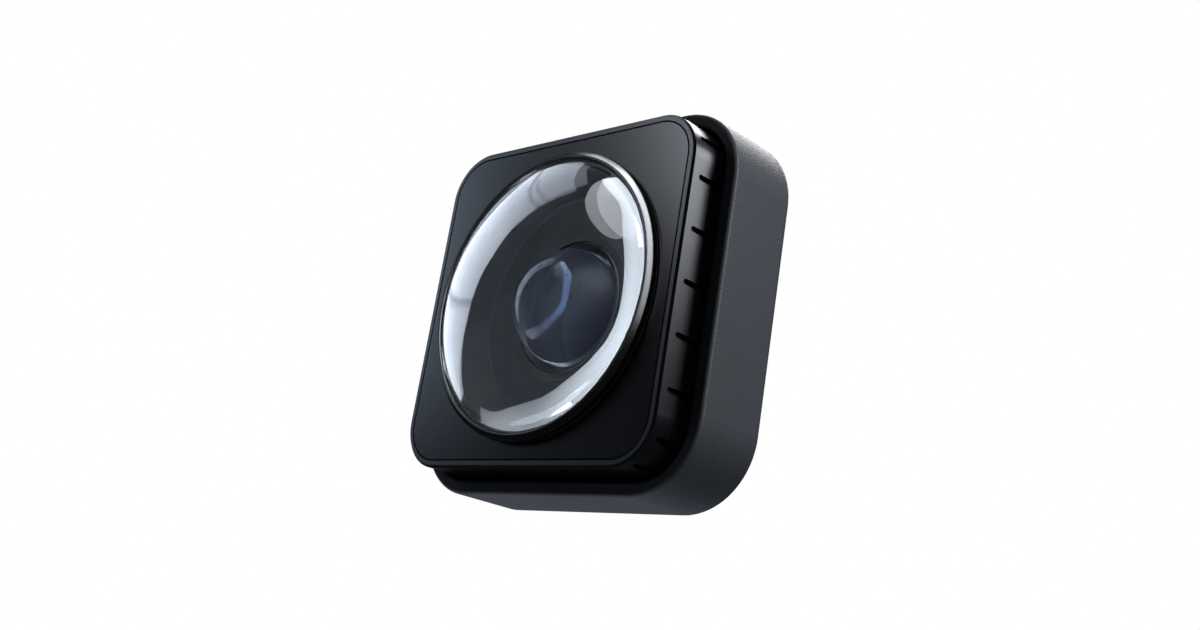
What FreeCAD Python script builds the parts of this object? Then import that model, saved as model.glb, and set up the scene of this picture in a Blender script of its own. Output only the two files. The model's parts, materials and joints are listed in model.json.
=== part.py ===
"""Square action camera: a matte body with a pull-out lens block and a wide glass dome.

Millimetres, +Z up.  The front faces -Y.  The origin is under the middle of the camera, on the
surface that it stands on, and the lens axis runs along Y at CENTRE_Z.
"""
import FreeCAD, Part
import math
import os

Vector = FreeCAD.Vector
EPS = 1e-3

# ---- gap between pieces that slip together, and reach of a cut past the surface --------------
SLIP_GAP = 0.05
OVERSHOOT = 1.0

# ---- body -------------------------------------------------------------------------------
BODY_HALF = 30.0
BODY_CORNER = 12.0
CENTRE_Z = BODY_HALF
RIM_Y = 0.6
BACK_Y = 14.5
BACK_EDGE_ROUND = 1.5
RIM_OUTER_ROUND = 0.6
RIM_INNER_ROUND = 0.5
SOCKET_HALF = 27.55
SOCKET_CORNER = 8.2
SOCKET_FLOOR_Y = 8.0
BAY_FRONT_Y = 8.8
BAY_HALF = 25.8
BAY_CORNER = 6.0
COVER_POST_AT = 22.8
COVER_POST_RADIUS = 2.2
COVER_HOLE_START_Y = BAY_FRONT_Y + 0.6
COVER_TIP_Y = BAY_FRONT_Y + 0.8
BOARD_HOLE_START_Y = SOCKET_FLOOR_Y + 0.3
BOARD_TIP_Y = SOCKET_FLOOR_Y + 0.5

# ---- back cover -------------------------------------------------------------------------
COVER_HALF = 26.7
COVER_CORNER = 6.9
COVER_THICK = 1.5
COVER_FRONT_Y = BACK_Y - COVER_THICK
COVER_GAP = 0.1
COVER_EDGE_ROUND = 0.2
SEAL_THICK = 0.3
LEDGE_Y = COVER_FRONT_Y - SEAL_THICK

# ---- screws -----------------------------------------------------------------------------
SCREW_RADIUS = 0.8
SCREW_HEAD_RADIUS = 1.5
SCREW_HEAD_THICK = 0.8
SCREW_HEAD_ROUND = 0.2
SCREW_HEAD_GAP = 0.1
SCREW_SUNK = 0.1
SCREW_HOLE_RADIUS = SCREW_RADIUS + SLIP_GAP
SCREW_SEAT_RADIUS = SCREW_HEAD_RADIUS + SCREW_HEAD_GAP
SCREW_DRIVE_RADIUS = 0.7
SCREW_DRIVE_DEPTH = 0.45
SCREW_DRIVE_SIDES = 6

# ---- threaded insert for a 1/4"-20 camera screw -------------------------------------------
INSERT_RADIUS = 5.0
INSERT_HOLE_RADIUS = 3.175
INSERT_HOLE_LENGTH = 4.8
INSERT_FRONT_Y = BAY_FRONT_Y + 0.1
INSERT_EDGE = 0.3

# ---- top buttons ------------------------------------------------------------------------
TOP_Z = 2 * BODY_HALF
BUTTON_Y = 9.2
BUTTON_PROUD = 0.4
BUTTON_CAP_THICK = 1.65
BUTTON_WELL_DEPTH = 1.9
BUTTON_GAP = 0.2
BUTTON_EDGE_ROUND = 0.35
SHUTTER_X = -5.0
SHUTTER_LENGTH = 16.0
SHUTTER_WIDTH = 4.2
POWER_X = 11.5
POWER_LENGTH = 7.0
POWER_WIDTH = 3.6
STEM_Y = 10.2
STEM_RADIUS = 1.0
STEM_HOLE_RADIUS = 1.3
STEM_BOTTOM_Z = 55.9
STEM_SEAL_RADIUS = 1.85
STEM_SEAL_HEIGHT = 0.9
STEM_SEAL_BASE_Z = 57.1
STEM_SEAL_GAP = 0.08
STEM_OVERLAP = 0.5
SWITCH_BOARD_Y = (8.9, 11.7)
SWITCH_BOARD_Z = (53.0, 53.7)
SWITCH_BOARD_PAST_SHUTTER = 4.0
SWITCH_BOARD_PAST_POWER = 3.0
SWITCH_HALF_X = 2.0
SWITCH_HALF_Y = 1.3
SWITCH_TOP_Z = 54.9
SWITCH_KEY_RADIUS = 0.9
SWITCH_KEY_TOP_Z = 55.3

# ---- port door on the left side -----------------------------------------------------------
SIDE_X = -BODY_HALF
DOOR_THICK = 1.2
DOOR_FRONT_Y = 8.6
DOOR_BACK_Y = 12.8
DOOR_BOTTOM_Z = 23.0
HINGE_Z = 36.0
HINGE_X = SIDE_X + 0.8
KNUCKLE_RADIUS = 0.8
PIN_SEAT_RADIUS = 0.4
PIN_RADIUS = 0.39
PIN_OVERHANG = 0.6
PIN_END_GAP = 0.02
DOOR_GAP = 0.1
DOOR_SWING_GAP = 0.3
DOOR_CORNER = 0.8
SCOOP_RADIUS = 2.4
SCOOP_INSET = 0.4
SCOOP_X = SIDE_X - 1.3
SCOOP_Z = DOOR_BOTTOM_Z - 0.4
PORT_FRONT_Y = 8.95
PORT_BACK_Y = 12.55
PORT_BOTTOM_Z = 24.6
PORT_TOP_Z = 34.4
PORT_CORNER = 1.0
USB_INNER_X = -21.0
USB_MOUTH_X = -27.9
USB_WALL = 0.3
USB_SIDE_GAP = 0.2
USB_END_GAP = 0.4
USB_CORNER = 1.55
TONGUE_INSET = 0.9
TONGUE_END_X = -21.5
TONGUE_HALF_THICK = 0.35
TONGUE_END_GAP = 1.2
PLUG_GAP = 0.2
PLUG_WALL = 0.6
PLUG_ROOT = 0.2
PLUG_CORNER = 0.8

# ---- lens block, measured back from the front of its face -----------------------------------
FACE_Y = -5.7
BLOCK_HALF = 27.0
BLOCK_CORNER = 7.6
BLOCK_DEPTH = 13.45
BLOCK_BACK_Y = FACE_Y + BLOCK_DEPTH
BLOCK_EDGE = 0.35
PANEL_HALF = 25.8
PANEL_CORNER = 6.25
PANEL_THICK = 1.2
PANEL_GAP = 0.15
PANEL_EDGE = 0.12
WEB_BACK = 2.4
CAVITY_HALF = 25.0
CAVITY_CORNER = 5.7
BLOCK_POST_AT = 21.8
BLOCK_POST_RADIUS = 2.1
BLOCK_HOLE_START = 4.4
BLOCK_SCREW_TIP = 5.4
BLOCK_SCREW_PROUD = 0.15
BACK_PLATE_THICK = 0.85
BACK_PLATE_GAP = 0.06
BACK_SCREW_SEAT_DEPTH = 0.7
SLOT_PITCH = 8.0
SLOT_SHIFT = 0.5
SLOTS_EACH_WAY = 2
CORNER_SLOT_OFFSET = 22.7
SLOT_WIDTH = 0.9
SLOT_DEPTH = 0.75
SLOT_START = 1.7

# ---- dome and its ring --------------------------------------------------------------------
DOME_RADIUS = 22.0
DOME_WALL = 1.1
DOME_BASE = -1.4
DOME_SAGITTA = 7.4
DOME_SKIRT_END = 0.4
RING_OUTER = 23.4
RING_INNER = 22.05
RING_FRONT = -1.85
RING_BACK = -0.2
RING_CHAMFER = 0.75
RING_LIP = 0.25
OPENING_RADIUS = 23.45
SEAL_SIDE_GAP = 0.05
SEAL_OUTER = RING_OUTER - 0.1
SEAL_FRONT = RING_BACK + 0.02

# ---- lens train -----------------------------------------------------------------------------
BOWL_MOUTH_RADIUS = 20.8
BOWL_FLOOR_RADIUS = 18.0
BOWL_FLOOR = 5.2
BOWL_WALL = 0.9
BOWL_FLANGE = DOME_SKIRT_END + 0.05
BOWL_FLANGE_RADIUS = OPENING_RADIUS - 0.3
BOWL_MOUTH_STEP = 0.6
BOWL_FLOOR_STEP = 0.5
LENS_RING_OUTER = 10.6
LENS_RING_INNER = 9.45
LENS_RING_GAP = 0.08
LENS_RING_FRONT = 5.3
LENS_RING_EDGE = 5.45
LENS_RING_EDGE_WIDTH = 0.3
LENS_RING_BEVEL_BACK = 6.2
LENS_RING_BACK = 7.4
FRONT_LENS_RADIUS = 9.3
FRONT_LENS_CENTRE = 6.4
FRONT_LENS_BACK = 7.6
FRONT_LENS_HOLLOW = 6.0
FRONT_LENS_HOLLOW_DEPTH = 3.0
SECOND_LENS_RADIUS = 7.3
SECOND_LENS_SPAN = (7.9, 9.1)
SECOND_LENS_SAGITTA = 0.8
THIRD_LENS_RADIUS = 5.9
THIRD_LENS_SPAN = (9.25, 10.3)
THIRD_LENS_SAGITTA = 0.6
BARREL_RADIUS = 12.0
BARREL_MOUTH_RADIUS = LENS_RING_OUTER + SLIP_GAP
BARREL_FRONT = 6.2
BARREL_SHELF = 7.65
BARREL_SECOND_RADIUS = SECOND_LENS_RADIUS + SLIP_GAP
BARREL_SECOND_FRONT = 7.85
BARREL_SECOND_BACK = 9.2
BARREL_STEP_RADIUS = 8.6
BARREL_THIRD_RADIUS = THIRD_LENS_RADIUS + SLIP_GAP
BARREL_THIRD_BACK = 10.4
BARREL_EXIT_RADIUS = 5.4
BARREL_BACK = 11.0
FILTER_HALF = 3.8
FILTER_SPAN = (10.5, 10.8)
SENSOR_HALF_WIDTH = 4.6
SENSOR_HALF_HEIGHT = 3.8
SENSOR_FRONT = 11.05
SENSOR_BOARD_HALF = 11.0
SENSOR_BOARD_CORNER = 1.5
SENSOR_BOARD_FRONT = 11.75
SENSOR_BOARD_THICK = 0.7

# ---- magnets and contacts between body and lens block -----------------------------------------
MAGNET_X = 17.0
MAGNET_RADIUS = 3.5
MAGNET_THICK = 1.2
CONTACT_Z = 39.5
CONTACT_PITCH = 2.2
CONTACT_COUNT = 6
CONTACT_RADIUS = 0.45
CONTACT_HOLE_GAP = 0.03
CONTACT_FRONT_Y = BLOCK_BACK_Y + 0.02
PAD_RADIUS = 0.75
PAD_SEAT_RADIUS = 0.8
PAD_SEAT_DEPTH = 0.3
PAD_Y = (BLOCK_BACK_Y - 0.28, BLOCK_BACK_Y - 0.03)
CONTACT_BLOCK_HALF = 7.2
CONTACT_BLOCK_RISE = 1.7
CONTACT_BLOCK_CORNER = 0.8

# ---- boards inside the body ---------------------------------------------------------------
BOARD_LEFT = -20.0
BOARD_RIGHT = 14.0
BOARD_BOTTOM_Z = 36.5
BOARD_TOP_Z = 52.5
BOARD_FRONT_Y = 9.3
BOARD_BACK_Y = 10.1
BATTERY_X = (-20.0, 20.0)
BATTERY_Y = (9.0, 12.3)
BATTERY_Z = (6.0, 23.4)
BATTERY_ROUND = 1.4
BATTERY_PAD_INSET = 2.0
BATTERY_PAD_Y = (BATTERY_Y[1] + SLIP_GAP, LEDGE_Y + 0.2)
PROCESSOR_X = (-12.0, 0.0)
PROCESSOR_Z = (38.5, 50.5)
PROCESSOR_BACK_Y = 11.3
SPREADER_Y = (PROCESSOR_BACK_Y + SLIP_GAP, 11.85)
SPREADER_SIDE_MARGIN = 0.4
SPREADER_END_MARGIN = 0.9
MEMORY_X = (1.5, 11.0)
MEMORY_Z = (37.3, 44.8)
MEMORY_BACK_Y = 11.0
SHIELD_X = (-19.2, -13.2)
SHIELD_Z = (40.4, 48.4)
SHIELD_BACK_Y = 11.6
SHIELD_CORNER = 0.4
ANTENNA_X = (25.0, 25.6)
ANTENNA_Y = (9.2, 12.2)
ANTENNA_Z = (12.0, 34.0)
LIGHT_X = -17.5
LIGHT_Z = 33.0
LIGHT_RADIUS = 1.2
LIGHT_FRONT_Y = 12.0
LIGHT_FLANGE = 0.6
MIC_X = 7.5
MIC_Z = 49.5
MIC_HALF_WIDTH = 1.9
MIC_HALF_HEIGHT = 1.4
MIC_BACK_Y = 11.2
MIC_HOLE_RADIUS = 0.5
SPEAKER_X = 20.2
SPEAKER_Z = 43.5
SPEAKER_HALF = (4.6, 6.0)
SPEAKER_Y = (9.2, 12.4)
SPEAKER_CORNER = 1.2
CONE_HALF = (3.6, 4.8)
CONE_FRONT_Y = 11.9
CONE_CORNER = 1.0
GRILLE_PITCH = 1.9
GRILLE_RADIUS = 0.5
STANDOFF_RADIUS = 1.5
STANDOFFS = ((-18.2, 50.7), (12.2, 50.7), (-18.2, 38.3))


def block(x, y, z):
    """Box between the given (low, high) pairs."""
    corner = Vector(x[0], y[0], z[0])
    return Part.makeBox(x[1] - x[0], y[1] - y[0], z[1] - z[0], corner)


def rod(radius, y_front, y_back, x=0.0, z=CENTRE_Z):
    """Cylinder along Y."""
    return Part.makeCylinder(radius, y_back - y_front, Vector(x, y_front, z), Vector(0, 1, 0))


def post(radius, z_low, z_high, x, y):
    """Cylinder along Z."""
    return Part.makeCylinder(radius, z_high - z_low, Vector(x, y, z_low), Vector(0, 0, 1))


def edges_along(shape, direction):
    """Straight edges that run along a direction."""
    along = Vector(*direction)
    found = []
    for edge in shape.Edges:
        tangent = edge.tangentAt(edge.FirstParameter)
        if edge.Curve.TypeId == "Part::GeomLine" and abs(tangent.dot(along)) > 1 - EPS:
            found.append(edge)
    return found


def edges_at_y(shape, y, reach):
    """Edges that lie in one Y plane, no further than reach from the lens axis on X and Z."""
    found = []
    for edge in shape.Edges:
        box = edge.BoundBox
        flat = abs(box.YMin - y) < EPS and abs(box.YMax - y) < EPS
        if flat and box.XMax < reach and box.ZMax - CENTRE_Z < reach:
            found.append(edge)
    return found


def rounded_square(half, corner, y_front, y_back):
    """Square prism on the lens axis with round corners."""
    span = (-half, half)
    height = (CENTRE_Z - half, CENTRE_Z + half)
    prism = block(span, (y_front, y_back), height)
    return prism.makeFillet(corner, edges_along(prism, (0, 1, 0)))


def rounded_block(x, y, z, radius, direction):
    """Box whose edges along one direction are round."""
    box = block(x, y, z)
    return box.makeFillet(radius, edges_along(box, direction))


def turned(profile):
    """Solid turned about the lens axis from (radius, distance behind the face) points."""
    points = [Vector(radius, FACE_Y + depth, CENTRE_Z) for radius, depth in profile]
    face = Part.Face(Part.makePolygon(points + points[:1]))
    return face.revolve(Vector(0, 0, CENTRE_Z), Vector(0, 1, 0), 360)


def dome_cap(edge_radius, sagitta, base_y):
    """Solid spherical cap that bulges to the front from a flat base."""
    radius = (edge_radius ** 2 + sagitta ** 2) / (2 * sagitta)
    ball = Part.makeSphere(radius, Vector(0, base_y - sagitta + radius, CENTRE_Z), Vector(0, -1, 0))
    return ball.common(rod(radius + OVERSHOOT, base_y - sagitta - OVERSHOOT, base_y))


def pill(length, width, z_low, z_high, x, y):
    """Upright plate with fully round ends, long way along X."""
    radius = width / 2
    reach = length / 2 - radius
    plate = block((x - reach, x + reach), (y - radius, y + radius), (z_low, z_high))
    ends = [post(radius, z_low, z_high, x + side * reach, y) for side in (-1, 1)]
    return plate.fuse(ends).removeSplitter()


def four_corners(at):
    """Offsets of four points placed symmetrically about the lens axis."""
    return [(x * at, CENTRE_Z + z * at) for x in (-1, 1) for z in (-1, 1)]


def screw(x, z, y_tip, y_head_back):
    """Small machine screw along Y with a round hex-drive head at its back end."""
    head_front = y_head_back - SCREW_HEAD_THICK
    shank = rod(SCREW_RADIUS, y_tip, head_front + EPS, x, z)
    head = rod(SCREW_HEAD_RADIUS, head_front, y_head_back, x, z)
    rim = edges_at_y(head, y_head_back, BODY_HALF)
    head = head.makeFillet(SCREW_HEAD_ROUND, rim)
    turns = [2 * math.pi * side / SCREW_DRIVE_SIDES for side in range(SCREW_DRIVE_SIDES)]
    hexagon = [
        Vector(x + SCREW_DRIVE_RADIUS * math.cos(turn),
               y_head_back - SCREW_DRIVE_DEPTH,
               z + SCREW_DRIVE_RADIUS * math.sin(turn))
        for turn in turns
    ]
    outline = Part.makePolygon(hexagon + hexagon[:1])
    drive = Part.Face(outline).extrude(Vector(0, OVERSHOOT, 0))
    return shank.fuse(head).cut(drive)


# ---- body pieces ----------------------------------------------------------------------------
def button_wells():
    """Wells, stem holes and seal seats for the two top buttons."""
    well_floor = TOP_Z - BUTTON_WELL_DEPTH
    cuts = []
    for x, length, width in button_sizes():
        wide = length + 2 * BUTTON_GAP
        deep = width + 2 * BUTTON_GAP
        bay_top = CENTRE_Z + BAY_HALF
        cuts.append(pill(wide, deep, well_floor, TOP_Z + OVERSHOOT, x, BUTTON_Y))
        cuts.append(post(STEM_HOLE_RADIUS, bay_top - OVERSHOOT, well_floor + OVERSHOOT, x, STEM_Y))
        cuts.append(post(STEM_SEAL_RADIUS + SLIP_GAP, STEM_SEAL_BASE_Z, well_floor + EPS, x, STEM_Y))
    return cuts


def button_sizes():
    """Place, length and width of each top button."""
    return ((SHUTTER_X, SHUTTER_LENGTH, SHUTTER_WIDTH), (POWER_X, POWER_LENGTH, POWER_WIDTH))


def door_recess():
    """Recess for the port door, its hinge pin, the port and a fingernail scoop."""
    door_y = (DOOR_FRONT_Y - DOOR_GAP, DOOR_BACK_Y + DOOR_GAP)
    top = HINGE_Z + KNUCKLE_RADIUS + DOOR_SWING_GAP
    floor_x = SIDE_X + DOOR_THICK + DOOR_GAP
    leaf = block((SIDE_X - OVERSHOOT, floor_x), door_y, (DOOR_BOTTOM_Z - DOOR_GAP, top))
    knuckle = rod(KNUCKLE_RADIUS + DOOR_GAP, door_y[0], door_y[1], HINGE_X, HINGE_Z)
    pin_ends = (DOOR_FRONT_Y - PIN_OVERHANG, DOOR_BACK_Y + PIN_OVERHANG)
    pin = rod(PIN_SEAT_RADIUS, pin_ends[0], pin_ends[1], HINGE_X, HINGE_Z)
    port = rounded_block((floor_x - OVERSHOOT, OVERSHOOT - BAY_HALF), (PORT_FRONT_Y, PORT_BACK_Y),
                         (PORT_BOTTOM_Z, PORT_TOP_Z), PORT_CORNER, (1, 0, 0))
    scoop = rod(SCOOP_RADIUS, DOOR_FRONT_Y + SCOOP_INSET, DOOR_BACK_Y - SCOOP_INSET, SCOOP_X, SCOOP_Z)
    return [leaf, knuckle, pin, port, scoop]


def body_shell():
    shell = rounded_square(BODY_HALF, BODY_CORNER, RIM_Y, BACK_Y)
    shell = shell.makeFillet(BACK_EDGE_ROUND, edges_at_y(shell, BACK_Y, BODY_HALF + EPS))
    shell = shell.makeFillet(RIM_OUTER_ROUND, edges_at_y(shell, RIM_Y, BODY_HALF + EPS))
    shell = shell.cut(rounded_square(SOCKET_HALF, SOCKET_CORNER, RIM_Y - OVERSHOOT, SOCKET_FLOOR_Y))
    shell = shell.makeFillet(RIM_INNER_ROUND, edges_at_y(shell, RIM_Y, SOCKET_HALF + EPS))
    shell = shell.cut(rounded_square(BAY_HALF, BAY_CORNER, BAY_FRONT_Y, BACK_Y + OVERSHOOT))
    seat_half = COVER_HALF + COVER_GAP
    shell = shell.cut(rounded_square(seat_half, COVER_CORNER + COVER_GAP, LEDGE_Y, BACK_Y + OVERSHOOT))
    posts = [rod(COVER_POST_RADIUS, BAY_FRONT_Y - EPS, LEDGE_Y, x, z)
             for x, z in four_corners(COVER_POST_AT)]
    standoffs = [rod(STANDOFF_RADIUS, BAY_FRONT_Y - EPS, BOARD_FRONT_Y, x, z) for x, z in STANDOFFS]
    shell = shell.fuse(posts + standoffs)
    cuts = button_wells() + door_recess()
    cuts += [rod(SCREW_HOLE_RADIUS, COVER_HOLE_START_Y, BACK_Y, x, z)
             for x, z in four_corners(COVER_POST_AT)]
    cuts += [rod(SCREW_HOLE_RADIUS, BOARD_HOLE_START_Y, BOARD_FRONT_Y + OVERSHOOT, x, z)
             for x, z in STANDOFFS]
    cuts.append(contact_window(SLIP_GAP))
    return shell.cut(cuts).removeSplitter()


def contact_window(gap):
    """Slot through the socket floor that the contact block fills."""
    half = CONTACT_BLOCK_HALF + gap
    rise = CONTACT_BLOCK_RISE + gap
    return rounded_block((-half, half), (SOCKET_FLOOR_Y - gap, BOARD_FRONT_Y - SLIP_GAP),
                         (CONTACT_Z - rise, CONTACT_Z + rise), CONTACT_BLOCK_CORNER, (0, 1, 0))


def back_cover():
    cover = rounded_square(COVER_HALF, COVER_CORNER, COVER_FRONT_Y, BACK_Y)
    cover = cover.makeFillet(COVER_EDGE_ROUND, edges_at_y(cover, BACK_Y, BODY_HALF))
    front = COVER_FRONT_Y - OVERSHOOT
    back = BACK_Y + OVERSHOOT
    head_seat = BACK_Y - SCREW_HEAD_THICK - SCREW_SUNK
    cuts = [rod(INSERT_RADIUS + COVER_GAP, front, back)]
    for x, z in four_corners(COVER_POST_AT):
        cuts.append(rod(SCREW_HOLE_RADIUS, front, BACK_Y, x, z))
        cuts.append(rod(SCREW_SEAT_RADIUS, head_seat, back, x, z))
    cuts.append(rod(LIGHT_RADIUS + SLIP_GAP, front, back, LIGHT_X, LIGHT_Z))
    cuts.append(rod(MIC_HOLE_RADIUS, front, back, MIC_X, MIC_Z))
    cuts += speaker_holes()
    return cover.cut(cuts)


def speaker_holes():
    """Three short rows of sound holes over the speaker."""
    holes = []
    for column in (-1, 0, 1):
        for row in (-1, 0, 1):
            x = SPEAKER_X + column * GRILLE_PITCH
            z = SPEAKER_Z + row * GRILLE_PITCH
            holes.append(rod(GRILLE_RADIUS, COVER_FRONT_Y - OVERSHOOT, BACK_Y + OVERSHOOT, x, z))
    return holes


def cover_seal():
    ring = rounded_square(COVER_HALF, COVER_CORNER, LEDGE_Y, COVER_FRONT_Y)
    opening = rounded_square(BAY_HALF + COVER_GAP, BAY_CORNER + COVER_GAP, LEDGE_Y - OVERSHOOT, BACK_Y)
    return ring.cut(opening)


def cover_screws():
    head_back = BACK_Y - SCREW_SUNK
    return Part.makeCompound([screw(x, z, COVER_TIP_Y, head_back)
                              for x, z in four_corners(COVER_POST_AT)])


def board_screws():
    head_back = BOARD_BACK_Y + SCREW_HEAD_THICK
    return Part.makeCompound([screw(x, z, BOARD_TIP_Y, head_back) for x, z in STANDOFFS])


def tripod_insert():
    insert = rod(INSERT_RADIUS, INSERT_FRONT_Y, BACK_Y)
    insert = insert.makeChamfer(INSERT_EDGE, edges_at_y(insert, BACK_Y, BODY_HALF))
    return insert.cut(rod(INSERT_HOLE_RADIUS, BACK_Y - INSERT_HOLE_LENGTH, BACK_Y + OVERSHOOT))


def battery():
    return rounded_block(BATTERY_X, BATTERY_Y, BATTERY_Z, BATTERY_ROUND, (1, 0, 0))


def battery_pad():
    x = (BATTERY_X[0] + BATTERY_PAD_INSET, BATTERY_X[1] - BATTERY_PAD_INSET)
    z = (BATTERY_Z[0] + BATTERY_PAD_INSET, BATTERY_Z[1] - BATTERY_PAD_INSET)
    return block(x, BATTERY_PAD_Y, z)


def main_board():
    board = block((BOARD_LEFT, BOARD_RIGHT), (BOARD_FRONT_Y, BOARD_BACK_Y), (BOARD_BOTTOM_Z, BOARD_TOP_Z))
    return board.cut([rod(SCREW_HOLE_RADIUS, BOARD_FRONT_Y - OVERSHOOT, BOARD_BACK_Y + OVERSHOOT, x, z)
                      for x, z in STANDOFFS])


def processor_chip():
    return block(PROCESSOR_X, (BOARD_BACK_Y, PROCESSOR_BACK_Y), PROCESSOR_Z)


def memory_chip():
    return block(MEMORY_X, (BOARD_BACK_Y, MEMORY_BACK_Y), MEMORY_Z)


def radio_shield():
    return rounded_block(SHIELD_X, (BOARD_BACK_Y, SHIELD_BACK_Y), SHIELD_Z, SHIELD_CORNER, (0, 1, 0))


def heat_spreader():
    x = (PROCESSOR_X[0] - SPREADER_SIDE_MARGIN, PROCESSOR_X[1] + SPREADER_SIDE_MARGIN)
    z = (PROCESSOR_Z[0] - SPREADER_END_MARGIN, PROCESSOR_Z[1] + SPREADER_END_MARGIN)
    return block(x, SPREADER_Y, z)


def microphone():
    x = (MIC_X - MIC_HALF_WIDTH, MIC_X + MIC_HALF_WIDTH)
    z = (MIC_Z - MIC_HALF_HEIGHT, MIC_Z + MIC_HALF_HEIGHT)
    return block(x, (BOARD_BACK_Y, MIC_BACK_Y), z)


def speaker_block(half, y, corner):
    """Upright rounded block centred on the speaker."""
    x = (SPEAKER_X - half[0], SPEAKER_X + half[0])
    z = (SPEAKER_Z - half[1], SPEAKER_Z + half[1])
    return rounded_block(x, y, z, corner, (0, 1, 0))


def speaker():
    frame = speaker_block(SPEAKER_HALF, SPEAKER_Y, SPEAKER_CORNER)
    cone = speaker_block(CONE_HALF, (CONE_FRONT_Y, SPEAKER_Y[1] + OVERSHOOT), CONE_CORNER)
    return frame.cut(cone)


def status_light():
    lens = rod(LIGHT_RADIUS, LIGHT_FRONT_Y, BACK_Y, LIGHT_X, LIGHT_Z)
    flange = rod(LIGHT_RADIUS + LIGHT_FLANGE, LIGHT_FRONT_Y, COVER_FRONT_Y - COVER_GAP, LIGHT_X, LIGHT_Z)
    return lens.fuse(flange)


def antenna():
    return block(ANTENNA_X, ANTENNA_Y, ANTENNA_Z)


def usb_socket():
    """Flat metal shell with round sides and a tongue in the middle of its mouth."""
    y = (PORT_FRONT_Y + USB_SIDE_GAP, PORT_BACK_Y - USB_SIDE_GAP)
    z = (PORT_BOTTOM_Z + USB_END_GAP, PORT_TOP_Z - USB_END_GAP)
    shell = rounded_block((USB_MOUTH_X, USB_INNER_X), y, z, USB_CORNER, (1, 0, 0))
    mouth = rounded_block((USB_MOUTH_X - OVERSHOOT, USB_INNER_X - OVERSHOOT),
                          (y[0] + USB_WALL, y[1] - USB_WALL), (z[0] + USB_WALL, z[1] - USB_WALL),
                          USB_CORNER - USB_WALL, (1, 0, 0))
    middle = (y[0] + y[1]) / 2
    tongue = block((USB_MOUTH_X + TONGUE_INSET, TONGUE_END_X),
                   (middle - TONGUE_HALF_THICK, middle + TONGUE_HALF_THICK),
                   (z[0] + TONGUE_END_GAP, z[1] - TONGUE_END_GAP))
    return shell.cut(mouth).fuse(tongue).removeSplitter()


def port_door_pin():
    reach = PIN_OVERHANG - PIN_END_GAP
    return rod(PIN_RADIUS, DOOR_FRONT_Y - reach, DOOR_BACK_Y + reach, HINGE_X, HINGE_Z)


def switch_board():
    x = (SHUTTER_X - SWITCH_BOARD_PAST_SHUTTER, POWER_X + SWITCH_BOARD_PAST_POWER)
    return block(x, SWITCH_BOARD_Y, SWITCH_BOARD_Z)


def key_switch(x):
    """Small click switch below a button stem."""
    case = block((x - SWITCH_HALF_X, x + SWITCH_HALF_X), (STEM_Y - SWITCH_HALF_Y, STEM_Y + SWITCH_HALF_Y),
                 (SWITCH_BOARD_Z[1], SWITCH_TOP_Z))
    key = post(SWITCH_KEY_RADIUS, SWITCH_TOP_Z - SLIP_GAP, SWITCH_KEY_TOP_Z, x, STEM_Y)
    return case.fuse(key).removeSplitter()


def button_seals():
    rings = []
    for x, _, _ in button_sizes():
        ring = post(STEM_SEAL_RADIUS, STEM_SEAL_BASE_Z, STEM_SEAL_BASE_Z + STEM_SEAL_HEIGHT, x, STEM_Y)
        hole = post(STEM_RADIUS + STEM_SEAL_GAP, STEM_SEAL_BASE_Z - OVERSHOOT, TOP_Z, x, STEM_Y)
        rings.append(ring.cut(hole))
    return Part.makeCompound(rings)


def magnet_pair(y_front):
    return Part.makeCompound([rod(MAGNET_RADIUS, y_front, y_front + MAGNET_THICK, x)
                              for x in (-MAGNET_X, MAGNET_X)])


def contact_places():
    """X of each contact in the row."""
    first = -CONTACT_PITCH * (CONTACT_COUNT - 1) / 2
    return [first + CONTACT_PITCH * index for index in range(CONTACT_COUNT)]


def contact_block():
    hole_radius = CONTACT_RADIUS + CONTACT_HOLE_GAP
    holes = [rod(hole_radius, SOCKET_FLOOR_Y - OVERSHOOT, BOARD_FRONT_Y, x, CONTACT_Z)
             for x in contact_places()]
    return contact_window(0.0).cut(holes)


def contact_pins():
    back = BOARD_FRONT_Y - SLIP_GAP
    return Part.makeCompound([rod(CONTACT_RADIUS, CONTACT_FRONT_Y, back, x, CONTACT_Z)
                              for x in contact_places()])


# ---- moving pieces on the body -------------------------------------------------------------
def top_button(x, length, width):
    """Pill-shaped cap with a rounded edge and a stem that reaches its switch."""
    top = TOP_Z + BUTTON_PROUD
    base = top - BUTTON_CAP_THICK
    cap = pill(length, width, base, top, x, BUTTON_Y)
    crown = [edge for edge in cap.Edges
             if abs(edge.BoundBox.ZMin - top) < EPS and abs(edge.BoundBox.ZMax - top) < EPS]
    cap = cap.makeFillet(BUTTON_EDGE_ROUND, crown)
    stem = post(STEM_RADIUS, STEM_BOTTOM_Z, base + STEM_OVERLAP, x, STEM_Y)
    return cap.fuse(stem).removeSplitter()


def port_door():
    leaf = block((SIDE_X, SIDE_X + DOOR_THICK), (DOOR_FRONT_Y, DOOR_BACK_Y), (DOOR_BOTTOM_Z, HINGE_Z))
    bottom = [edge for edge in edges_along(leaf, (1, 0, 0)) if edge.BoundBox.ZMax < HINGE_Z - EPS]
    leaf = leaf.makeFillet(DOOR_CORNER, bottom)
    knuckle = rod(KNUCKLE_RADIUS, DOOR_FRONT_Y, DOOR_BACK_Y, HINGE_X, HINGE_Z)
    bore_y = (DOOR_FRONT_Y - OVERSHOOT, DOOR_BACK_Y + OVERSHOOT)
    bore = rod(PIN_SEAT_RADIUS + SLIP_GAP, bore_y[0], bore_y[1], HINGE_X, HINGE_Z)
    return leaf.fuse(knuckle).cut(bore).removeSplitter()


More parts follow.
